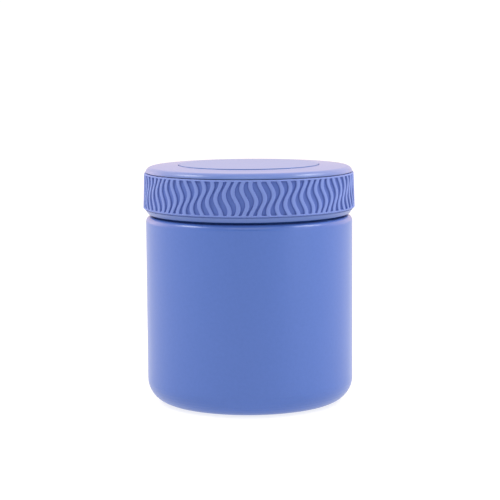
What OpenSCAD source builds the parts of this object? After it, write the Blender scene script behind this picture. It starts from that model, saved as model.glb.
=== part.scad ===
// Insulated food jar: a vacuum-walled steel body with a screw lid and a soft ribbed grip band.
// The origin is the middle of the foot, +Z runs up the jar's axis. All sizes are in millimetres.

/* [Jar body] */
// Outside diameter of the straight wall
body_d = 95; // [90:0.5:105]
// Height of the top of the shoulder
body_h = 86.2; // [70:0.2:120]
// Outside radius of the rounded bottom edge
base_edge_r = 11; // [8:0.5:13]
// Outside radius of the shoulder
shoulder_r = 2.6; // [2:0.1:4]
// Sheet thickness of the outer shell and the base pan
shell_t = 0.6; // [0.4:0.1:0.9]
// Straight wall between the bottom edge and the welded seam of the base pan
seam_rise = 3; // [1:0.5:8]

/* [Food vessel] */
// Width of the vacuum space between the walls
vacuum_gap = 5; // [4.6:0.1:6]
// Height of the vacuum space under the vessel
base_gap = 5.8; // [5:0.1:9]
// Sheet thickness of the vessel
vessel_t = 0.5; // [0.4:0.1:0.8]
// Outside radius of the vessel's bottom edge
vessel_edge_r = 8; // [5:0.5:14]
// Space between the two skins of the neck
neck_gap = 0.5; // [0.3:0.1:0.8]
// Height of the lip above the shoulder
neck_h = 15.3; // [13:0.1:20]

/* [Foot and evacuation point] */
// Width of the flat ring that the jar stands on
foot_w = 5; // [3:0.5:8]
// Depth of the recess inside the foot
recess_h = 1.6; // [1.2:0.1:2.4]
// Thickness of the cover in the recess
cover_t = 0.6; // [0.4:0.1:1]
// Gap round the edge of the cover
cover_gap = 0.4; // [0.2:0.1:0.8]
// Radius of the dimple that holds the seal bead
dimple_r = 5; // [4:0.5:7]
// Height of the dimple
dimple_h = 1.2; // [0.9:0.1:1.6]
// Radius of the dimple's upper edge
dimple_edge_r = 0.6; // [0.3:0.1:0.8]
// Radius of the evacuation hole
vent_r = 1; // [0.7:0.1:1.4]
// Radius of the seal bead
bead_r = 2.6; // [2:0.1:3.5]
// Drop of the seal bead under the dimple
bead_h = 0.9; // [0.5:0.1:1.1]
// Radius of the seal bead's lower edge
bead_edge_r = 0.45; // [0.2:0.05:0.5]

/* [Getter and reflector] */
// Diameter of the getter pill
pill_d = 8; // [6:0.5:10]
// Thickness of the getter pill
pill_h = 2.4; // [1.5:0.1:2.8]
// Distance of the getter from the jar's axis
getter_x = 18; // [14:0.5:24]
// Sheet thickness of the getter clip
clip_t = 0.4; // [0.3:0.1:0.6]
// Width of the clip's welding flange
clip_flange = 2.5; // [1.5:0.1:4]
// Diameter of the window in the clip's bottom
clip_window_d = 4; // [2:0.5:5]
// Thickness of the reflector wrap
foil_t = 0.1; // [0.1:0.05:0.3]
// Bare height above and below the reflector wrap
foil_inset = 3; // [1:0.5:10]

/* [Lid collar] */
// Gap between the shoulder and the closed lid
lid_gap = 1.3; // [0.6:0.1:2]
// Radial room for the screw thread between neck and collar
thread_room = 1.3; // [1:0.1:1.8]
// Wall thickness of the collar
collar_t = 2; // [1.5:0.1:2.6]
// Height of the sloping skirt under the band
skirt_h = 2.3; // [1.5:0.1:4]
// Thickness of the deck over the mouth
deck_t = 1.2; // [1:0.1:2]
// Lead-in chamfer inside the collar's lower edge
lead_in = 0.7; // [0.4:0.1:1.2]

/* [Grip band] */
// Thickness of the band at its upper edge, ribs included
band_t = 1.8; // [1.5:0.1:2.6]
// Outward flare of the band towards its lower edge
band_flare = 0.5; // [0:0.1:1]
// Radius on the band's outer edges
band_edge_r = 0.5; // [0.3:0.1:0.8]
// Height of the band's top edge above the collar
band_rise = 0.5; // [0.2:0.1:0.8]
// Number of raised ribs
rib_count = 78; // [60:1:84]
// Width of a rib across its crest
rib_w = 1.95; // [1.4:0.05:2]
// Height of a rib above the groove beside it
rib_depth = 0.85; // [0.4:0.05:0.9]
// Sideways swing of a rib to each side of its middle line
rib_swing = 1.3; // [0.6:0.1:1.4]
// Height in which a rib swings through one whole wave
rib_wave_h = 14.6; // [12:0.1:24]
// Number of waves that the rib pattern makes round the band
rib_waves = 8; // [4:1:9]
// Plain rim left above and below the ribs
rib_rim = 0.6; // [0.6:0.1:1.5]

/* [Lid cap] */
// Seam between the band and the cap
cap_seam = 0.4; // [0.2:0.1:0.6]
// Height of the cap above the seam
cap_h = 3; // [2.4:0.1:3.6]
// Radius of the cap's upper edge
cap_edge_r = 3; // [2.4:0.1:4]
// How far the cap's top falls from the inlay to its rounded edge
cap_fall = 0.6; // [0.1:0.1:0.8]
// How far the cap stands in from the band's top edge
cap_inset = 0.5; // [0.4:0.1:1]
// Thickness of the cap over the deck
cap_t = 1.6; // [1.4:0.1:1.8]
// Width of the cap's welding ring
weld_ring_w = 1.8; // [1.2:0.1:2.4]
// Diameter of the recess for the inlay
disc_d = 64.8; // [50:0.2:76]
// Depth of the recess for the inlay
disc_recess = 0.8; // [0.6:0.1:1]
// How far the inlay stands proud of the cap
disc_proud = 0.3; // [0:0.05:0.5]
// Gap round the inlay
disc_gap = 0.35; // [0.2:0.05:0.5]
// Radius of the inlay's upper edge
disc_edge_r = 0.25; // [0.1:0.05:0.4]

/* [Plug and seal] */
// Depth of the plug below the lip
plug_depth = 6.5; // [5:0.1:10]
// Radial gap between the plug and the mouth
plug_gap = 1; // [0.9:0.1:1.4]
// Wall thickness of the plug
liner_t = 1.2; // [1:0.1:1.8]
// Radius of the plug's lower edge
liner_edge_r = 3; // [2.5:0.1:4]
// Radius of the bead that keeps the seal on the plug
keeper_r = 0.6; // [0.5:0.05:0.6]
// Height of the seal
seal_h = 2.2; // [1.6:0.1:3]
// Radius on the seal's outer edges
seal_edge_r = 0.4; // [0.2:0.1:0.7]
// Play of the seal in its groove
seal_play = 0.3; // [0.2:0.05:0.35]
// Gap between the seal and the lip with the lid just closed
seal_seat = 0.3; // [0.2:0.05:0.4]

/* [Hidden] */
$fn = 96;

// Cuts reach past the faces they break through
past = 1;
// Clearance of pieces pushed or moulded together
fit = 0.05;

// Jar radii, from the outside in
body_r = body_d / 2;
vessel_r = body_r - shell_t - vacuum_gap;
mouth_r = vessel_r - vessel_t;
neck_r = vessel_r + neck_gap + shell_t;
lip_r = (neck_r - mouth_r) / 2;

// Jar heights
seam_z = base_edge_r + seam_rise;
lip_z = body_h + neck_h;
neck_top_z = lip_z - lip_r;
vessel_z = recess_h + shell_t + base_gap;
recess_r = body_r - base_edge_r - foot_w;

// Lid radii, from the neck out
collar_in_r = neck_r + thread_room;
collar_r = collar_in_r + collar_t;
band_top_r = collar_r + band_t;
band_low_r = band_top_r + band_flare;
cap_r = band_top_r - cap_inset;
liner_r = mouth_r - plug_gap;

// Lid heights, from the closed lid's lower edge up
lid_z = body_h + lid_gap;
band_z = lid_z + skirt_h;
seal_z = lip_z + seal_seat;
deck_z = seal_z + seal_h + seal_play;
collar_top_z = deck_z + deck_t;
band_top_z = collar_top_z + band_rise;
cap_z = band_top_z + cap_seam;
lid_top_z = cap_z + cap_h;
liner_z = lip_z - plug_depth;

// Rib pattern. Angles are in degrees round the axis, and the front of the jar is at -90
rib_steps = 8;
rib_low_z = band_z + rib_rim;
rib_high_z = band_top_z - rib_rim;
rib_mid_z = (rib_low_z + rib_high_z) / 2;
first_rib = -87.8;
rib_phase = 39;
flare_angle = atan(band_flare / (band_top_z - band_z));

paint = "#6577c4";
soft_paint = "#7285cf";
plastic = "#6c80cb";
steel = "#c9ccd0";

// Angle that spans a width on the band's outside
function turn(width) = width / band_low_r * 180 / PI;

// Width on the band's outside that an angle spans
function across(angle) = angle * band_low_r * PI / 180;

// Angle of the middle line of rib i at height z
function rib_angle(i, z) =
    let (middle = first_rib + i * 360 / rib_count)
    middle + turn(rib_swing) * sin(rib_waves * middle - 360 * (z - rib_mid_z) / rib_wave_h + rib_phase);

// Angle of the middle of the groove to the right of rib i
function groove_angle(i) = first_rib + (i + 0.5) * 360 / rib_count;

// Outline, across and up, of the groove to the right of rib i. Its sides follow the ribs beside it
function groove_outline(i) =
    let (
        middle = groove_angle(i),
        levels = [for (s = [0:rib_steps]) rib_low_z + (rib_high_z - rib_low_z) * s / rib_steps]
    )
    concat(
        [for (z = levels) [across(rib_angle(i + 1, z) - middle) - rib_w / 2, z]],
        [for (s = [rib_steps:-1:0]) [across(rib_angle(i, levels[s]) - middle) + rib_w / 2, levels[s]]]
    );

// What is cut off a square corner to leave a round one of radius r
module nook(r) {
    difference() {
        square(r + past);
        circle(r);
    }
}

// Half outline of a puck of radius r from z0 to z1, with rounded lower and upper edges
module puck(r, z0, z1, low_r = 0, top_r = 0) {
    difference() {
        translate([0, z0]) square([r, z1 - z0]);
        if (low_r > 0) translate([r - low_r, z0 + low_r]) mirror([0, 1]) nook(low_r);
        if (top_r > 0) translate([r - top_r, z1 - top_r]) nook(top_r);
    }
}

// Outer tube with the rounded shoulder and the neck. The lid's thread runs on the neck
module outer_shell() {
    color(paint)
    rotate_extrude()
    difference() {
        union() {
            puck(body_r, seam_z, body_h, top_r = shoulder_r);
            puck(neck_r, seam_z, neck_top_z);
        }
        puck(body_r - shell_t, seam_z - past, body_h - shell_t, top_r = shoulder_r - shell_t);
        puck(neck_r - shell_t, seam_z - past, neck_top_z + past);
    }
}

// Base pan: the rounded bottom edge, the foot, the recess and the dimple with the evacuation hole
module outer_base() {
    color(paint)
    rotate_extrude()
    difference() {
        union() {
            difference() {
                puck(body_r, 0, seam_z, low_r = base_edge_r);
                puck(body_r - shell_t, shell_t, seam_z + past, low_r = base_edge_r - shell_t);
            }
            puck(recess_r + shell_t, 0, recess_h + shell_t, top_r = shell_t);
            puck(dimple_r + shell_t, 0, recess_h + dimple_h + shell_t, top_r = dimple_edge_r + shell_t);
        }
        puck(recess_r, -past, recess_h);
        puck(dimple_r, -past, recess_h + dimple_h, top_r = dimple_edge_r);
        puck(vent_r, -past, recess_h + dimple_h + shell_t + past);
    }
}

// Food vessel with a rolled lip that closes both skins of the neck
module inner_vessel() {
    color(steel)
    rotate_extrude()
    difference() {
        union() {
            puck(vessel_r, vessel_z, neck_top_z, low_r = vessel_edge_r);
            intersection() {
                translate([mouth_r + lip_r, neck_top_z]) circle(lip_r);
                translate([mouth_r, neck_top_z]) square([2 * lip_r, lip_r]);
            }
        }
        puck(mouth_r, vessel_z + vessel_t, lip_z + past, low_r = vessel_edge_r - vessel_t);
    }
}

// Disc that covers the evacuation point
module base_cover() {
    color(steel)
    rotate_extrude()
    puck(recess_r - cover_gap, recess_h - cover_t, recess_h);
}

// Bead of solder glass under the evacuation hole, with its neck drawn up into the hole
module seal_bead() {
    top_z = recess_h + dimple_h;
    color("#8a8f98")
    rotate_extrude() {
        puck(bead_r, top_z - bead_h, top_z, low_r = bead_edge_r);
        puck(vent_r - fit, top_z, top_z + shell_t);
    }
}

// Cup that holds the getter, welded by its flange under the vessel
module getter_clip() {
    cup_r = pill_d / 2 + fit + clip_t;
    color(steel)
    translate([getter_x, 0, vessel_z])
    rotate_extrude()
    difference() {
        union() {
            puck(cup_r, -pill_h - clip_t - fit, 0);
            puck(cup_r + clip_flange, -clip_t, 0);
        }
        puck(cup_r - clip_t, -pill_h - fit, past);
        puck(clip_window_d / 2, -pill_h - clip_t - past, past);
    }
}

// Pressed getter pill that keeps the vacuum
module getter_pill() {
    color("dimgray")
    translate([getter_x, 0, vessel_z - pill_h - fit])
    cylinder(d = pill_d, h = pill_h);
}

// Reflecting wrap round the vessel, inside the vacuum
module reflector_foil() {
    low_z = vessel_z + vessel_edge_r + foil_inset;
    high_z = body_h - shoulder_r - foil_inset;
    color("gainsboro")
    rotate_extrude()
    translate([vessel_r + fit, low_z]) square([foil_t, high_z - low_z]);
}

// Inner lid: the deck over the mouth, the wall round the neck and the sloping skirt that carries the band
module lid_collar() {
    ledge_r = band_low_r - band_edge_r;
    color(plastic)
    rotate_extrude()
    difference() {
        union() {
            puck(collar_r, lid_z, collar_top_z);
            polygon([[0, lid_z], [collar_r, lid_z], [ledge_r, band_z], [0, band_z]]);
        }
        puck(collar_in_r, lid_z - past, deck_z, top_r = lead_in);
        polygon([
            [0, lid_z - past], [collar_in_r + lead_in + past, lid_z - past],
            [collar_in_r, lid_z + lead_in], [0, lid_z + lead_in]
        ]);
    }
}

// One groove between two ribs, cut straight in from the outside and leaning with the band's flare
module groove(i) {
    rotate([0, 0, groove_angle(i)])
    translate([band_low_r - rib_depth, 0, band_z])
    rotate([0, -flare_angle, 0])
    translate([0, 0, -band_z])
    rotate([90, 0, 90])
    linear_extrude(2 * rib_depth) polygon(groove_outline(i));
}

// Soft band moulded round the collar, with grooves that leave wavy ribs between two plain rims
module grip_band() {
    e = band_edge_r;
    color(soft_paint)
    difference() {
        rotate_extrude() {
            polygon([
                [collar_r + fit, band_z], [band_low_r - e, band_z], [band_low_r, band_z + e],
                [band_top_r, band_top_z - e], [band_top_r - e, band_top_z], [collar_r + fit, band_top_z]
            ]);
            translate([band_low_r - e, band_z + e]) circle(e);
            translate([band_top_r - e, band_top_z - e]) circle(e);
        }
        for (i = [0:rib_count - 1]) groove(i);
    }
}

// Top shell of the lid, with a recess for the inlay and a ring that is welded to the collar
module lid_cap() {
    edge_in = cap_r - cap_edge_r;
    rim_z = lid_top_z - cap_fall;
    color(plastic)
    rotate_extrude()
    difference() {
        union() {
            difference() {
                polygon([
                    [0, cap_z], [cap_r, cap_z], [cap_r, rim_z],
                    [edge_in, rim_z], [disc_d / 2, lid_top_z], [0, lid_top_z]
                ]);
                translate([edge_in, rim_z - cap_edge_r]) nook(cap_edge_r);
            }
            puck(collar_r - fit, collar_top_z, cap_z);
        }
        puck(collar_r - fit - weld_ring_w, collar_top_z - past, lid_top_z - cap_t, top_r = fit);
        puck(disc_d / 2, lid_top_z - disc_recess, lid_top_z + past);
    }
}

// Plain round inlay in the middle of the cap
module cap_disc() {
    color(plastic)
    rotate_extrude()
    puck(disc_d / 2 - disc_gap, lid_top_z - disc_recess, lid_top_z + disc_proud, top_r = disc_edge_r);
}

// Food side of the lid: a shallow plug with a bead that keeps the seal on it
module lid_liner() {
    color("whitesmoke")
    rotate_extrude() {
        difference() {
            puck(liner_r, liner_z, deck_z, low_r = liner_edge_r);
            puck(liner_r - liner_t, liner_z + liner_t, deck_z + past, low_r = liner_edge_r - liner_t);
        }
        intersection() {
            translate([liner_r, lip_z - keeper_r]) circle(keeper_r);
            translate([liner_r - liner_t / 2, lip_z - 2 * keeper_r]) square([liner_t, 2 * keeper_r]);
        }
    }
}

// Insulating puck between the plug and the deck
module lid_foam() {
    color("ivory")
    rotate_extrude()
    puck(liner_r - liner_t - fit, liner_z + liner_t, deck_z, low_r = liner_edge_r - liner_t + 2 * fit);
}

// Soft ring that closes on the lip, loose in the groove between plug and collar
module seal_ring() {
    inner_r = liner_r + seal_play;
    outer_r = collar_in_r - seal_play;
    color("#dfe3ee")
    rotate_extrude()
    difference() {
        puck(outer_r, seal_z, seal_z + seal_h, low_r = seal_edge_r, top_r = seal_edge_r);
        translate([0, seal_z - past]) square([inner_r, seal_h + 2 * past]);
    }
}

outer_shell();
outer_base();
inner_vessel();
base_cover();
seal_bead();
getter_clip();
getter_pill();
reflector_foil();
lid_collar();
grip_band();
lid_cap();
cap_disc();
lid_liner();
lid_foam();
seal_ring();
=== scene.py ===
from math import asin, ceil, cos, degrees, hypot, pi, radians, sin, sqrt, tan, tau

import bmesh
import bpy
from mathutils import Matrix, Vector


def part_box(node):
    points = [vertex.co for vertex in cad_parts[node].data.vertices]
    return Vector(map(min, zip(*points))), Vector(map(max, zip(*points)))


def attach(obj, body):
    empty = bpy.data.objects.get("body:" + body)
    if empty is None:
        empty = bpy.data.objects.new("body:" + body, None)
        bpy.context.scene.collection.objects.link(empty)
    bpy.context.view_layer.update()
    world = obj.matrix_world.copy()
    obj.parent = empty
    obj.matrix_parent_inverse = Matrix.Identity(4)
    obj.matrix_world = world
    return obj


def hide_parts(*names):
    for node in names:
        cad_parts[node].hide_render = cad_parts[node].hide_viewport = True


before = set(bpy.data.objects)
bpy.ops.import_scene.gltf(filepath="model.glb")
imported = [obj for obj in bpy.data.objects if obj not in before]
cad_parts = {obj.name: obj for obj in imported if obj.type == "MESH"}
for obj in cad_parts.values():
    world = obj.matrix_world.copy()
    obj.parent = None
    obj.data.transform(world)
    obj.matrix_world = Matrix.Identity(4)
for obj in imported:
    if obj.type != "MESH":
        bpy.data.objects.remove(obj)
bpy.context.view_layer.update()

# ---------------------------------------------------------------------------------------------
# Sizes, in metres. Names in small letters are read from the solids, or follow from them.
# ---------------------------------------------------------------------------------------------

MM = 0.001
NEAR = 0.02 * MM


def edges(node):
    """Distance from the jar's axis and height of every vertex of a CAD node."""
    return [(hypot(v.co.x, v.co.y), v.co.z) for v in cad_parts[node].data.vertices]


def span(node):
    """Lowest and highest height of a CAD node."""
    low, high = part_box(node)
    return low.z, high.z


def radii(node, z):
    """Smallest and largest radius of a CAD node's edges at a height."""
    found = [r for r, height in edges(node) if abs(height - z) < NEAR]
    return min(found), max(found)


def heights(node, r):
    """Lowest and highest height of a CAD node's edges at a radius."""
    found = [height for radius, height in edges(node) if abs(radius - r) < NEAR]
    return min(found), max(found)


def hole(node):
    """Smallest radius of a CAD node."""
    return min(r for r, height in edges(node))


def reach(node):
    """Largest radius of a CAD node."""
    return max(r for r, height in edges(node))


# Outer shell and base pan
seam_z, neck_top_z = span("outer_shell")
body_in_r, body_r = radii("outer_shell", seam_z)
neck_in_r, neck_r = radii("outer_shell", neck_top_z)
shoulder_z = heights("outer_shell", neck_r)[0]
sheet_t = body_r - body_in_r
shoulder_r = shoulder_z - heights("outer_shell", body_r)[1]
recess_r, foot_r = radii("outer_base", 0)
base_edge_r = body_r - foot_r
recess_z = heights("outer_base", recess_r)[1]
pan_top_z = span("seal_bead")[1]
dimple_z = pan_top_z - sheet_t
DIMPLE_R = 5.0 * MM
VENT_R = 1.0 * MM

# The coat's colour ends here on the neck, which is bare steel above
# From the shoulder up to here the coat is painted darker: painted shade in the gap under the lid
COAT_RUN_OUT = 3.2 * MM
coat_end_z = shoulder_z + COAT_RUN_OUT

# Food vessel
vessel_z, lip_z = span("inner_vessel")
mouth_r = radii("inner_vessel", neck_top_z)[0]
lip_r = (neck_r - mouth_r) / 2
VESSEL_T = 0.5 * MM
VESSEL_EDGE_R = 8.0 * MM

# Inner lid. The bore is read below the rounding under its deck. The lower lip hangs a little lower
# than the solid's, which narrows the gap below it
lid_z, collar_top_z = span("lid_collar")
collar_r = radii("lid_collar", collar_top_z)[1]
lead_in_r = radii("lid_collar", lid_z)[0]
skirt_r = reach("lid_collar")
collar_in_r = min(r for r, height in edges("lid_collar") if height < neck_top_z)
LIP_DROP = 0.25 * MM
lip_low_z = lid_z - LIP_DROP

# Shadow groove between the skirt and the grip band
SKIRT_EDGE_IN = 0.3 * MM
SKIRT_EDGE_Z = 0.5 * MM
GROOVE_IN = 0.6 * MM
GROOVE_Z = 0.35 * MM

# Grip band
band_z, band_top_z = span("grip_band")
band_in_r = hole("grip_band")
band_low_r = reach("grip_band")
BAND_FLARE = 0.5 * MM
BAND_EDGE_R = 0.5 * MM

# Plug
liner_z, deck_z = span("lid_liner")
liner_in_r, liner_r = radii("lid_liner", deck_z)
liner_t = liner_r - liner_in_r
keeper_r = reach("lid_liner") - liner_r
PLUG_EDGE_R = 3.0 * MM

# Cap and inlay
cap_low_z, lid_top_z = span("lid_cap")
cap_r, cap_z = max((r, height) for r, height in edges("lid_cap"))
ring_in_r, ring_r = radii("lid_cap", cap_low_z)
cap_hollow_z = heights("lid_cap", ring_in_r)[1]
inlay_recess_r = radii("lid_cap", lid_top_z)[0]
disc_z, disc_top_z = span("cap_disc")
disc_r = reach("cap_disc")
CAP_EDGE_R = 3.0 * MM
CAP_FALL = 0.6 * MM

# Gasket and base cover
seal_z, seal_top_z = span("seal_ring")
seal_in_r, seal_r = hole("seal_ring"), reach("seal_ring")
cover_z, cover_top_z = span("base_cover")
cover_r = reach("base_cover")

# Wavy ribs of the grip band, as moulded. The waves run round the band and up it
RIB_COUNT = 78
RIB_W = 1.95 * MM
RIB_DEPTH = 0.85 * MM
RIB_SWING = 1.3 * MM
RIB_WAVE_H = 14.6 * MM
RIB_WAVES = 8
RIB_RIM = 0.6 * MM
FIRST_RIB = radians(-87.8)
RIB_PHASE = radians(39)

# Across a rib: its crown is a little higher in the middle, with a column of points part of the way
# out, and each flank starts inside the rib's edge and ends outside it
RIB_CROWN = 0.05 * MM
CROWN_COLUMN = 0.45
SLOPE_IN = 0.22 * MM
SLOPE_OUT = 0.42 * MM
SLOPE_STEPS = 7

# Up the band: the length over which a groove runs out to a rim, and the rows of points
GROOVE_END = 0.35 * MM
BAND_ROWS = 54

# Screw thread: two starts, right-handed. Heights are of its first turn's middle, over the shoulder
# for the neck's thread and below that for the lid's
THREAD_STARTS = 2
THREAD_LEAD = 8.0 * MM
THREAD_BEGIN = radians(20)
THREAD_ABOVE = 4.2 * MM
LID_THREAD_BELOW = 2.0 * MM
thread_z = shoulder_z + THREAD_ABOVE

# Its ridges are rooted in the wall, and fade in and out over a few steps from a trace of a ridge
THREAD_SUNK = 0.1 * MM
THREAD_OUT = 1.0 * MM
THREAD_STEP = radians(4)
FADE_STEPS = 8
FADE_LEAST = 0.02

# Across a ridge: place as a share of its width, and height as a share of its crest's
RIDGE = [(-0.5, 0), (-0.36, 0.45), (-0.22, 0.85), (0, 1), (0.22, 0.85), (0.36, 0.45), (0.5, 0)]

# Steps round the jar, and the longest step round a rounding
STEPS = 240
ROUNDING_STEP = radians(9)

# Distance from the end of a long stretch to the point that keeps it flat
GUARD = 0.25 * MM

# ---------------------------------------------------------------------------------------------
# Meshes
# ---------------------------------------------------------------------------------------------


def arc(r, z, radius, start, end, step=8):
    """Corners along an arc round (r, z), from one angle to another in degrees."""
    count = max(2, ceil(abs(end - start) / step))
    angles = [radians(start + (end - start) * i / count) for i in range(count + 1)]
    return [(r + radius * cos(a), z + radius * sin(a)) for a in angles]


def rounded(corners, closed):
    """Half section as points, from corners (radius, height) or (radius, height, rounding)."""
    points = []
    last = len(corners) - 1
    for i, corner in enumerate(corners):
        here = Vector(corner[:2])
        rounding = corner[2] if len(corner) > 2 else 0
        if not rounding or (not closed and i in (0, last)):
            points.append(here)
            continue
        before = (Vector(corners[i - 1][:2]) - here).normalized()
        after = (Vector(corners[(i + 1) % len(corners)][:2]) - here).normalized()
        half = before.angle(after) / 2
        centre = here + (before + after).normalized() * rounding / sin(half)
        first = here + before * rounding / tan(half) - centre
        turn = pi - 2 * half
        side = 1 if before.x * after.y - before.y * after.x < 0 else -1
        count = max(3, ceil(turn / ROUNDING_STEP))
        for k in range(count + 1):
            points.append(centre + Matrix.Rotation(side * turn * k / count, 2) @ first)
    return guarded(points, closed)


def guarded(points, closed):
    """The points, with one more near each end of a long stretch, which then shades flat."""
    out = []
    for i, here in enumerate(points):
        out.append(here)
        if i + 1 == len(points) and not closed:
            break
        onward = points[(i + 1) % len(points)] - here
        if onward.length > 4 * GUARD:
            step = onward.normalized() * GUARD
            out += [here + step, here + onward - step]
    return out


def piece(name, verts, faces, body, *materials, sharp=40):
    """Smooth-shaded mesh object that rides on a body."""
    mesh = bpy.data.meshes.new(name)
    mesh.from_pydata(verts, [], faces)
    shape = bmesh.new()
    shape.from_mesh(mesh)
    bmesh.ops.recalc_face_normals(shape, faces=shape.faces)
    shape.to_mesh(mesh)
    shape.free()
    mesh.shade_smooth()
    mesh.set_sharp_from_angle(angle=radians(sharp))
    for material in materials:
        mesh.materials.append(material)
    made = bpy.data.objects.new(name, mesh)
    bpy.context.scene.collection.objects.link(made)
    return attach(made, body)


def turned(name, corners, body, *materials):
    """Solid turned about the jar's axis.

    A section that starts on the axis is a disc, others are rings.
    """
    ring = corners[0][0] > 0
    verts, rows, faces = [], [], []
    for r, z in rounded(corners, ring):
        if r < NEAR:
            rows.append([len(verts)] * STEPS)
            verts.append((0, 0, z))
            continue
        rows.append(list(range(len(verts), len(verts) + STEPS)))
        verts += [(r * cos(tau * k / STEPS), r * sin(tau * k / STEPS), z) for k in range(STEPS)]
    pairs = list(zip(rows, rows[1:])) + ([(rows[-1], rows[0])] if ring else [])
    for low, high in pairs:
        for k in range(STEPS):
            n = (k + 1) % STEPS
            face = list(dict.fromkeys((low[k], low[n], high[n], high[k])))
            if len(face) > 2:
                faces.append(face)
    return piece(name, verts, faces, body, *materials)


def banded(made, *levels):
    """Gives each face of an object the next material slot for every level that it lies above."""
    for face in made.data.polygons:
        face.material_index = sum(face.center.z > level for level in levels)


def thread(name, body, material, root_r, crest_r, low_z, turns, width):
    """Screw thread of rounded ridges that fade out at both ends."""
    verts, faces = [], []
    run = int(turns * tau / THREAD_STEP)
    across_count = len(RIDGE)
    for s in range(THREAD_STARTS):
        first = len(verts)
        for k in range(run + 1):
            angle = THREAD_BEGIN + tau * s / THREAD_STARTS + k * THREAD_STEP
            z = low_z + THREAD_LEAD * k * THREAD_STEP / tau
            grow = min(1, k / FADE_STEPS, (run - k) / FADE_STEPS)
            grow = max(FADE_LEAST, sin(grow * pi / 2))
            for across, out in RIDGE:
                r = root_r + (crest_r - root_r) * out * grow
                height = z + across * width * (0.5 + 0.5 * grow)
                verts.append((r * cos(angle), r * sin(angle), height))
        for k in range(run):
            for j in range(across_count):
                a = first + k * across_count + j
                b = first + k * across_count + (j + 1) % across_count
                faces.append((a, b, b + across_count, a + across_count))
        faces.append(tuple(first + j for j in range(across_count)))
        faces.append(tuple(first + run * across_count + j for j in range(across_count)))
    return piece(name, verts, faces, body, material, sharp=60)


def rib_middle(i, z):
    """Angle of the middle line of rib i at a height."""
    plain = FIRST_RIB + i * tau / RIB_COUNT
    mid_z = (band_z + band_top_z) / 2
    wave = RIB_WAVES * plain - tau * (z - mid_z) / RIB_WAVE_H + RIB_PHASE
    return plain + RIB_SWING / band_low_r * sin(wave)


def smooth(x):
    """0 below 0, 1 above 1 and an S curve between."""
    x = min(1, max(0, x))
    return x * x * (3 - 2 * x)


def rib_depth(offset):
    """Depth under the band's outside at a distance from a rib's middle line."""
    half = RIB_W / 2
    sides = smooth((offset - half + SLOPE_IN) / (SLOPE_IN + SLOPE_OUT))
    return RIB_CROWN * min(1, offset / half) ** 2 * (1 - sides) + RIB_DEPTH * sides


def ribbed_band(name, body, material):
    """The grip band: a flared ring, cut between wavy ribs up to a plain rim at each edge.

    Its attribute "groove" runs from 0 on the ribs to 1 in the grooves; the material paints shade
    by it.
    """
    low, high = band_z + RIB_RIM, band_top_z - RIB_RIM
    top_r = band_low_r - BAND_FLARE

    # The wall's rows keep clear of the roundings at its ends
    clear = 1.05 * BAND_EDGE_R
    wall = [k / BAND_ROWS for k in range(BAND_ROWS + 1)]
    wall = [(band_low_r - BAND_FLARE * t, band_z + (band_top_z - band_z) * t) for t in wall]
    section = [(band_in_r, band_z)]
    section += arc(band_low_r - BAND_EDGE_R, band_z + BAND_EDGE_R, BAND_EDGE_R, -90, 0, 15)
    section += [(r, z) for r, z in wall if band_z + clear < z < band_top_z - clear]
    section += arc(top_r - BAND_EDGE_R, band_top_z - BAND_EDGE_R, BAND_EDGE_R, 0, 90, 15)
    section += [(band_in_r, band_top_z)]
    section = [Vector(corner) for corner in section]

    # Across one pitch: offsets from the nearer rib's middle line
    half = RIB_W / 2
    offsets = [0, CROWN_COLUMN * half, half - SLOPE_IN]
    offsets += [half - SLOPE_IN + (SLOPE_IN + SLOPE_OUT) * k / SLOPE_STEPS
                for k in range(1, SLOPE_STEPS)]
    offsets += [half + SLOPE_OUT]

    verts, faces, groove_shade = [], [], []
    for p in section:
        z = min(high, max(low, p.y))
        cut = 0
        if p.x > band_in_r + NEAR:
            cut = smooth((p.y - low) / GROOVE_END) * smooth((high - p.y) / GROOVE_END)
        for i in range(RIB_COUNT):
            here, then = rib_middle(i, z), rib_middle(i + 1, z)
            columns = [(here + o / band_low_r, rib_depth(o)) for o in offsets]
            columns += [((here + then) / 2, RIB_DEPTH)]
            columns += [(then - o / band_low_r, rib_depth(o)) for o in reversed(offsets[1:])]
            for angle, deep in columns:
                r = p.x - deep * cut
                verts.append((r * cos(angle), r * sin(angle), p.y))
                groove_shade.append(deep * cut / RIB_DEPTH)
    wide = RIB_COUNT * 2 * len(offsets)
    rows = len(section)
    for j in range(rows):
        for k in range(wide):
            n = (k + 1) % wide
            up = (j + 1) % rows
            faces.append((j * wide + k, j * wide + n, up * wide + n, up * wide + k))
    made = piece(name, verts, faces, body, material, sharp=50)
    attribute = made.data.attributes.new("groove", "FLOAT", "POINT")
    attribute.data.foreach_set("value", groove_shade)
    return made


# ---------------------------------------------------------------------------------------------
# Materials
# ---------------------------------------------------------------------------------------------


def srgb(code):
    """Linear colour from an sRGB hex code."""
    parts = [int(code[i:i + 2], 16) / 255 for i in (1, 3, 5)]
    return [c / 12.92 if c < 0.04045 else ((c + 0.055) / 1.055) ** 2.4 for c in parts] + [1]


def add(tree, kind, inputs=None, **settings):
    """Adds a node, sets its properties, and fills or links its inputs by name or number."""
    node = tree.nodes.new(kind)
    for key, value in settings.items():
        setattr(node, key, value)
    for key, value in (inputs or {}).items():
        if isinstance(value, bpy.types.NodeSocket):
            tree.links.new(value, node.inputs[key])
        else:
            node.inputs[key].default_value = value
    return node


def shaded(name, **sockets):
    """Material with one shader. sockets are the shader's own values, with _ for a space."""
    material = bpy.data.materials.new(name)
    material.use_nodes = True
    tree = material.node_tree
    shader = tree.nodes["Principled BSDF"]
    for key, value in sockets.items():
        shader.inputs[key.replace("_", " ")].default_value = value
    return material, tree, shader


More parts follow.
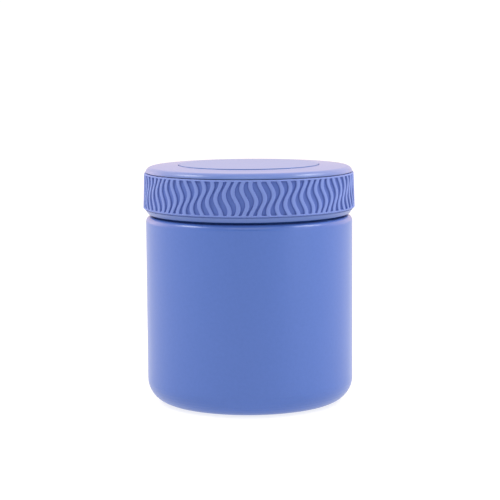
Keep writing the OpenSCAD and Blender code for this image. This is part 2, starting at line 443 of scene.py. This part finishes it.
def grain(tree, size, detail=2.0, rough=0.5):
    """Noise from 0 to 1 whose lumps are about size wide, in metres."""
    where = add(tree, "ShaderNodeTexCoord").outputs["Object"]
    return add(tree, "ShaderNodeTexNoise", {
        "Vector": where, "Scale": 1 / size, "Detail": detail, "Roughness": rough,
    }).outputs["Fac"]


def relief(tree, shader, height, depth, under=None):
    """Bumps the shader by a 0 to 1 height and a depth in metres, on top of another bump."""
    bump = add(tree, "ShaderNodeBump", {"Height": height, "Distance": depth, "Strength": 1.0})
    if under:
        tree.links.new(under.outputs["Normal"], bump.inputs["Normal"])
    tree.links.new(bump.outputs["Normal"], shader.inputs["Normal"])
    return bump


def spread(tree, value, low, high, start=0, **settings):
    """Maps a value that runs from start to 1 onto a range."""
    return add(tree, "ShaderNodeMapRange", {
        "Value": value, "From Min": start, "To Min": low, "To Max": high,
    }, **settings).outputs["Result"]


def roughened(tree, shader, value, low, high):
    """Makes the shader's roughness follow a 0 to 1 value between two ends."""
    tree.links.new(spread(tree, value, low, high), shader.inputs["Roughness"])


def ramp(tree, value, stops, blend="LINEAR"):
    """Colour that follows a 0 to 1 value. stops are pairs of a place and a linear colour."""
    node = add(tree, "ShaderNodeValToRGB", {"Fac": value})
    node.color_ramp.interpolation = blend
    elements = node.color_ramp.elements
    while len(elements) < len(stops):
        elements.new(0.5)
    for element, (place, colour) in zip(elements, stops):
        element.position = place
        element.color = colour
    return node.outputs["Color"]


def tinted(tree, shader, value, dark, light):
    """Colours the shader between two close shades by a 0 to 1 value."""
    colour = ramp(tree, value, [(0.3, srgb(dark)), (0.7, srgb(light))])
    tree.links.new(colour, shader.inputs["Base Color"])


# Orange peel of the powder coat
PEEL_W = 1.4 * MM
PEEL_DEPTH = 0.010 * MM


def powder_coat():
    """Polyester powder coat, sprayed and baked: satin, with a faint orange peel 1.4 mm across."""
    material, tree, shader = shaded("powder_coat", IOR=1.5)
    peel = grain(tree, PEEL_W)
    speck = grain(tree, 0.35 * MM, detail=1.0)
    tinted(tree, shader, peel, "#4668b5", "#486ab8")
    waves = relief(tree, shader, peel, PEEL_DEPTH)
    relief(tree, shader, speck, 0.003 * MM, waves)
    roughened(tree, shader, speck, 0.27, 0.33)
    return material


def painted_shade_coat():
    """Powder coat on the neck below the bare steel, painted darker and glossless: painted shade.
    """
    material, tree, shader = shaded("powder_coat_painted_shade", Roughness=0.9, Specular_IOR_Level=0.05)
    peel = grain(tree, PEEL_W)
    tinted(tree, shader, peel, "#3f63b0", "#4365b3")
    relief(tree, shader, peel, PEEL_DEPTH)
    return material


def moulded_plastic(name, dark, light):
    """Injection moulded polypropylene: a spark-eroded mould's fine grain scatters the gloss."""
    material, tree, shader = shaded(name, IOR=1.49)
    pits = grain(tree, 0.5 * MM, detail=3.0, rough=0.6)
    tinted(tree, shader, pits, dark, light)
    relief(tree, shader, pits, 0.006 * MM)
    roughened(tree, shader, pits, 0.29, 0.37)
    return material


def grip_silicone():
    """Silicone rubber, matt and soft, with painted shade: flanks and grooves darker than crests.
    """
    material, tree, shader = shaded("silicone_rubber", IOR=1.41)
    bloom = grain(tree, 0.45 * MM, detail=3.0, rough=0.6)
    groove = add(tree, "ShaderNodeAttribute", attribute_name="groove", attribute_type="GEOMETRY")
    mottle = spread(tree, bloom, -0.06, 0.06)
    deep = add(tree, "ShaderNodeMath", {0: groove.outputs["Fac"], 1: mottle}, operation="ADD")
    # Painted shade: the flanks much darker than the crests, the groove bottoms a little darker
    crest, flank_shade, bottom_shade = srgb("#6b82c6"), srgb("#41569e"), srgb("#5069b2")
    colour = ramp(tree, deep.outputs["Value"], [(0.15, crest), (0.65, flank_shade), (0.97, bottom_shade)])
    tree.links.new(colour, shader.inputs["Base Color"])
    relief(tree, shader, bloom, 0.008 * MM)
    roughened(tree, shader, bloom, 0.55, 0.65)
    return material


def brushed_steel(name, colour, rough_low, rough_high):
    """Stainless steel, brushed while it turned: hairlines 0.15 mm apart run round the jar."""
    material, tree, shader = shaded(name, Base_Color=srgb(colour), Metallic=1.0)
    line_w, line_length = 0.15 * MM, 14 * MM
    where = add(tree, "ShaderNodeTexCoord").outputs["Object"]
    at = add(tree, "ShaderNodeSeparateXYZ", {"Vector": where}).outputs
    flat = add(tree, "ShaderNodeCombineXYZ", {"X": at["X"], "Y": at["Y"]}).outputs["Vector"]
    radius = add(tree, "ShaderNodeVectorMath", {0: flat}, operation="LENGTH").outputs["Value"]
    along = add(tree, "ShaderNodeMath", {0: at["Z"], 1: radius}, operation="ADD").outputs["Value"]
    hair = add(tree, "ShaderNodeMath", {0: along, 1: 1 / line_w}, operation="MULTIPLY")
    far = add(tree, "ShaderNodeVectorMath", {0: flat, "Scale": 1 / line_length}, operation="SCALE")
    split = add(tree, "ShaderNodeSeparateXYZ", {"Vector": far.outputs["Vector"]}).outputs
    line = add(tree, "ShaderNodeCombineXYZ",
               {"X": split["X"], "Y": split["Y"], "Z": hair.outputs["Value"]})
    hairs = add(tree, "ShaderNodeTexNoise",
                {"Vector": line.outputs["Vector"], "Scale": 1.0, "Detail": 3.0}).outputs["Fac"]
    roughened(tree, shader, hairs, rough_low, rough_high)
    relief(tree, shader, hairs, 0.004 * MM)
    return material


def white_plastic():
    """Undyed food-grade polypropylene, moulded: off-white, a little cloudy, satin."""
    material, tree, shader = shaded("undyed_polypropylene", Roughness=0.38, IOR=1.49,
                                    Subsurface_Weight=0.15, Subsurface_Scale=1.5 * MM)
    tinted(tree, shader, grain(tree, 3.0 * MM), "#e3e5e8", "#e9ebec")
    relief(tree, shader, grain(tree, 0.5 * MM, detail=3.0), 0.004 * MM)
    return material


def seal_silicone():
    """Food-grade silicone, moulded and undyed: milky and slightly soft to the light."""
    material, tree, shader = shaded("food_silicone", Roughness=0.42, IOR=1.43,
                                    Subsurface_Weight=0.3, Subsurface_Scale=1.2 * MM)
    tinted(tree, shader, grain(tree, 2.0 * MM), "#d0d6e3", "#dadfe9")
    relief(tree, shader, grain(tree, 0.3 * MM), 0.004 * MM)
    return material


def solder_glass():
    """Lead-free solder glass, melted in place: dark grey and glossy with a few fine bubbles."""
    material, tree, shader = shaded("solder_glass", Roughness=0.12, IOR=1.7)
    seeds = grain(tree, 0.4 * MM)
    tinted(tree, shader, seeds, "#63676f", "#777b83")
    relief(tree, shader, seeds, 0.01 * MM)
    return material


def getter_powder():
    """Zirconium getter, pressed from powder: near black, dull and grainy."""
    material, tree, shader = shaded("pressed_getter", Roughness=0.8)
    powder = grain(tree, 0.25 * MM, detail=4.0)
    tinted(tree, shader, powder, "#2f2f31", "#454547")
    relief(tree, shader, powder, 0.05 * MM)
    return material


def rolled_foil():
    """Aluminium foil, rolled: bright, with soft creases from wrapping, about 9 mm apart."""
    material, tree, shader = shaded("rolled_foil", Base_Color=srgb("#dfe1e4"), Metallic=1.0)
    crease = grain(tree, 9 * MM, detail=4.0, rough=0.6)
    relief(tree, shader, crease, 0.4 * MM)
    roughened(tree, shader, crease, 0.14, 0.28)
    return material


def bead_foam():
    """Expanded polystyrene, steam moulded: white beads 3 mm across, pressed into each other."""
    material, tree, shader = shaded("expanded_polystyrene", Roughness=0.75)
    where = add(tree, "ShaderNodeTexCoord").outputs["Object"]
    beads = add(tree, "ShaderNodeTexVoronoi", {"Vector": where, "Scale": 1 / (3 * MM)})
    tinted(tree, shader, beads.outputs["Distance"], "#f4f4f0", "#e2e2dc")
    relief(tree, shader, spread(tree, beads.outputs["Distance"], 1, 0), 0.3 * MM)
    return material


coat = powder_coat()
neck_shade_coat = painted_shade_coat()
plastic = moulded_plastic("moulded_polypropylene", "#5a74b5", "#5c76b7")
inlay_plastic = moulded_plastic("inlay_polypropylene", "#486fb4", "#4a71b6")
silicone = grip_silicone()
outer_steel = brushed_steel("spun_steel", "#b7bfcb", 0.26, 0.40)
vessel_steel = brushed_steel("polished_steel", "#c1c8d3", 0.16, 0.28)
food_plastic = white_plastic()
seal_rubber = seal_silicone()

# ---------------------------------------------------------------------------------------------
# Jar. A third number in a corner is its rounding.
# ---------------------------------------------------------------------------------------------

shell = turned("shell", [
    (body_r, seam_z), (body_r, shoulder_z, shoulder_r), (neck_r, shoulder_z, 0.4 * MM),
    (neck_r, coat_end_z), (neck_r, neck_top_z),
    (neck_in_r, neck_top_z), (neck_in_r, shoulder_z - sheet_t, 0.6 * MM),
    (body_in_r, shoulder_z - sheet_t, shoulder_r - sheet_t), (body_in_r, seam_z),
], "jar", coat, neck_shade_coat, outer_steel)
# From the shoulder to coat_end_z the neck takes the darker coat: painted shade under the lid
banded(shell, shoulder_z + NEAR, coat_end_z)
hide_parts("outer_shell")

pan = turned("base_pan", [
    (body_r, seam_z), (body_r, 0, base_edge_r),
    (recess_r, 0, 0.5 * MM), (recess_r, recess_z, 0.3 * MM),
    (DIMPLE_R, recess_z, 0.4 * MM), (DIMPLE_R, dimple_z, 0.6 * MM),
    (VENT_R, dimple_z), (VENT_R, pan_top_z),
    (DIMPLE_R + sheet_t, pan_top_z, 1.0 * MM),
    (DIMPLE_R + sheet_t, recess_z + sheet_t, 0.3 * MM),
    (recess_r + sheet_t, recess_z + sheet_t, 0.5 * MM), (recess_r + sheet_t, sheet_t, 0.3 * MM),
    (body_in_r, sheet_t, base_edge_r - sheet_t), (body_in_r, seam_z),
], "jar", coat)
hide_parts("outer_base")

vessel = turned("food_vessel", [
    (0, vessel_z), (mouth_r + VESSEL_T, vessel_z, VESSEL_EDGE_R),
    (mouth_r + VESSEL_T, neck_top_z),
    *arc(mouth_r + lip_r, neck_top_z, lip_r, 0, 180, 12),
    (mouth_r, vessel_z + VESSEL_T, VESSEL_EDGE_R - VESSEL_T), (0, vessel_z + VESSEL_T),
], "jar", vessel_steel)
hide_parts("inner_vessel")

cover = turned("foot_cover", [
    (0, cover_z), (cover_r, cover_z, 0.2 * MM), (cover_r, cover_top_z), (0, cover_top_z),
], "jar", outer_steel)
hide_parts("base_cover")

neck_thread = thread("neck_thread", "jar", outer_steel, neck_r - THREAD_SUNK, neck_r + THREAD_OUT,
                     thread_z, turns=1.1, width=1.9 * MM)

# ---------------------------------------------------------------------------------------------
# Lid
# ---------------------------------------------------------------------------------------------

collar = turned("inner_lid", [
    (0, deck_z), (collar_in_r, deck_z, 0.7 * MM), (collar_in_r, lid_z + lead_in_r - collar_in_r),
    (lead_in_r, lip_low_z, 0.1 * MM), (collar_r, lip_low_z, 0.1 * MM),
    (skirt_r - SKIRT_EDGE_IN, band_z - SKIRT_EDGE_Z, 0.1 * MM),
    (skirt_r - GROOVE_IN, band_z - GROOVE_Z), (skirt_r - GROOVE_IN, band_z),
    (collar_r, band_z), (collar_r, collar_top_z), (0, collar_top_z),
], "lid", plastic)
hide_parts("lid_collar")

lid_thread = thread("lid_thread", "lid", plastic, collar_in_r + THREAD_SUNK,
                    collar_in_r - THREAD_OUT, thread_z - LID_THREAD_BELOW,
                    turns=1.0, width=1.7 * MM)

band = ribbed_band("ribbed_band", "lid", silicone)
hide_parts("grip_band")

# The cap's edge is one arc, from its lowest outer corner up to its top
cap_edge_z = lid_top_z - CAP_FALL - CAP_EDGE_R
cap_edge_in = cap_r - sqrt(CAP_EDGE_R ** 2 - (cap_z - cap_edge_z) ** 2)
cap_edge_low = degrees(asin((cap_z - cap_edge_z) / CAP_EDGE_R))
cap = turned("cap", [
    (0, disc_z), (inlay_recess_r, disc_z, 0.1 * MM), (inlay_recess_r, lid_top_z, 0.12 * MM),
    *reversed(arc(cap_edge_in, cap_edge_z, CAP_EDGE_R, cap_edge_low, 90, 5)),
    (ring_r, cap_z), (ring_r, cap_low_z), (ring_in_r, cap_low_z), (ring_in_r, cap_hollow_z),
    (0, cap_hollow_z),
], "lid", plastic)
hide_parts("lid_cap")

disc = turned("cap_inlay", [
    (0, disc_z), (disc_r, disc_z), (disc_r, disc_top_z, 0.18 * MM), (0, disc_top_z),
], "lid", inlay_plastic)
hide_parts("cap_disc")

liner = turned("plug", [
    (0, liner_z), (liner_r, liner_z, PLUG_EDGE_R),
    *arc(liner_r, lip_z - keeper_r, keeper_r, -90, 90, 15),
    (liner_r, deck_z), (liner_in_r, deck_z),
    (liner_in_r, liner_z + liner_t, PLUG_EDGE_R - liner_t), (0, liner_z + liner_t),
], "lid", food_plastic)
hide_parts("lid_liner")

seal = turned("lid_gasket", [
    (seal_in_r, seal_z, 0.25 * MM), (seal_r, seal_z, 0.4 * MM), (seal_r, seal_top_z, 0.4 * MM),
    (seal_in_r, seal_top_z, 0.25 * MM),
], "lid_seal", seal_rubber)
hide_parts("seal_ring")

# Pieces sealed inside keep their own solids
for node, material in {
    "seal_bead": solder_glass(), "getter_clip": vessel_steel, "getter_pill": getter_powder(),
    "reflector_foil": rolled_foil(), "lid_foam": bead_foam(),
}.items():
    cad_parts[node].data.materials.clear()
    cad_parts[node].data.materials.append(material)

# ---------------------------------------------------------------------------------------------
# Studio
# ---------------------------------------------------------------------------------------------

scene = bpy.context.scene
scene.view_settings.view_transform = "Standard"

# Light table: half its width, its glow, and its top, which is just clear of the jar's foot
TABLE_HALF = 12.0
TABLE_GLOW = 0.80
TABLE_Z = -0.05 * MM

# How bright the tent's walls are, from the front (0) to the back (1) of the jar
TENT_WALLS = [(0.0, 0.27), (0.14, 0.45), (0.36, 1.15), (0.62, 1.65), (0.84, 2.05), (1.0, 1.25)]
TENT_MOST = 2.4

# Brightness of the tent's roof beside its walls, which it meets at this height
TENT_ROOF = 0.6
TENT_EAVES = 0.3

# Tint of the walls beside and behind the jar, and how bright the tent looks to the camera
TENT_TINT = (1.17, 0.90, 0.74)
TENT_SEEN = 1.05

# Lights: name, place, width, height, watts and colour. They all aim at the middle of the jar
LIGHT_AIM = (0, 0, 0.055)
LIGHTS = [
    ("upper_left_box", (-0.68, -0.03, 0.80), 0.35, 0.30, 4.5, "#ffffff"),
    ("upper_right_box", (0.68, -0.03, 0.80), 0.35, 0.30, 4.5, "#ffffff"),
    ("front_box", (0, -0.64, 0.82), 0.7, 0.35, 2.2, "#ffffff"),
    ("right_box", (0.75, -0.55, 0.30), 0.5, 0.6, 1.0, "#ffffff"),
    ("rear_left_box", (-0.95, 0.75, 0.35), 0.7, 0.6, 0.9, "#ffd9cc"),
]

# Camera: in front of the jar and a little above it, tipped down. Angles are in radians
CAMERA_SIDE = 0.00029
CAMERA_DISTANCE = 0.8485
CAMERA_HEIGHT = 0.1725
CAMERA_PITCH = 0.1205
CAMERA_ROLL = -0.0070
SENSOR = 36.0
FOCUS = 133.2


def floor():
    """Light table: a white sheet lit from below, so that the jar throws no shadow."""
    mesh = bpy.data.meshes.new("floor")
    half, z = TABLE_HALF, TABLE_Z
    mesh.from_pydata([(-half, -half, z), (half, -half, z), (half, half, z), (-half, half, z)], [],
                     [(0, 1, 2, 3)])
    sheet = bpy.data.objects.new("floor", mesh)
    scene.collection.objects.link(sheet)
    material, tree, shader = shaded("opal_acrylic", Roughness=0.9, Specular_IOR_Level=0.0,
                                    Emission_Color=srgb("#ffffff"), Emission_Strength=TABLE_GLOW)
    tinted(tree, shader, grain(tree, 30 * MM), "#8e8e8e", "#929292")
    mesh.materials.append(material)


def softbox(name, place, width, height, power, colour):
    """Rectangular soft light at a place, turned to the jar."""
    light = bpy.data.lights.new(name, "AREA")
    light.shape = "RECTANGLE"
    light.size, light.size_y = width, height
    light.energy = power
    light.color = srgb(colour)[:3]
    lamp = bpy.data.objects.new(name, light)
    lamp.location = place
    lamp.visible_camera = False
    lamp.rotation_euler = (Vector(LIGHT_AIM) - Vector(place)).to_track_quat("-Z", "Y").to_euler()
    scene.collection.objects.link(lamp)


def tent():
    """Light tent: plain white to the camera, and on the jar dim from the front, bright behind."""
    world = bpy.data.worlds.new("tent")
    world.use_nodes = True
    scene.world = world
    tree = world.node_tree
    where = add(tree, "ShaderNodeTexCoord").outputs["Generated"]
    at = add(tree, "ShaderNodeSeparateXYZ", {"Vector": where}).outputs
    stops = []
    for place, light in TENT_WALLS:
        warm = smooth(2 * place)
        tint = [light / TENT_MOST * (1 + (share - 1) * warm) for share in TENT_TINT]
        stops.append((place, tint + [1]))
    walls = ramp(tree, spread(tree, at["Y"], 0, 1, start=-1), stops, "EASE")
    roof = spread(tree, at["Z"], 1, TENT_ROOF, start=TENT_EAVES, interpolation_type="SMOOTHSTEP")
    dimmed = add(tree, "ShaderNodeVectorMath", {0: walls, "Scale": roof}, operation="SCALE")
    eye = add(tree, "ShaderNodeLightPath").outputs["Is Camera Ray"]
    plain = TENT_SEEN / TENT_MOST

    # The mix node's colour sockets go by number: 6 and 7 in, 2 out
    seen = add(tree, "ShaderNodeMix", {
        0: eye, 6: dimmed.outputs["Vector"], 7: (plain, plain, plain, 1),
    }, data_type="RGBA")
    back = tree.nodes["Background"]
    back.inputs["Strength"].default_value = TENT_MOST
    tree.links.new(seen.outputs[2], back.inputs["Color"])


def camera():
    """Long lens in front of the jar."""
    lens = bpy.data.cameras.new("camera")
    lens.sensor_width = SENSOR
    lens.lens = FOCUS
    lens.clip_start, lens.clip_end = 0.05, 50
    eye = bpy.data.objects.new("camera", lens)
    scene.collection.objects.link(eye)
    ahead = Vector((0, cos(CAMERA_PITCH), -sin(CAMERA_PITCH)))
    flat_up = Vector((0, sin(CAMERA_PITCH), cos(CAMERA_PITCH)))
    flat_right = Vector((1, 0, 0))
    right = cos(CAMERA_ROLL) * flat_right + sin(CAMERA_ROLL) * flat_up
    up = cos(CAMERA_ROLL) * flat_up - sin(CAMERA_ROLL) * flat_right
    turn = Matrix((right, up, -ahead)).transposed().to_4x4()
    place = Matrix.Translation((CAMERA_SIDE, -CAMERA_DISTANCE, CAMERA_HEIGHT))
    eye.matrix_world = place @ turn
    scene.camera = eye


floor()
tent()
for light in LIGHTS:
    softbox(*light)
camera()
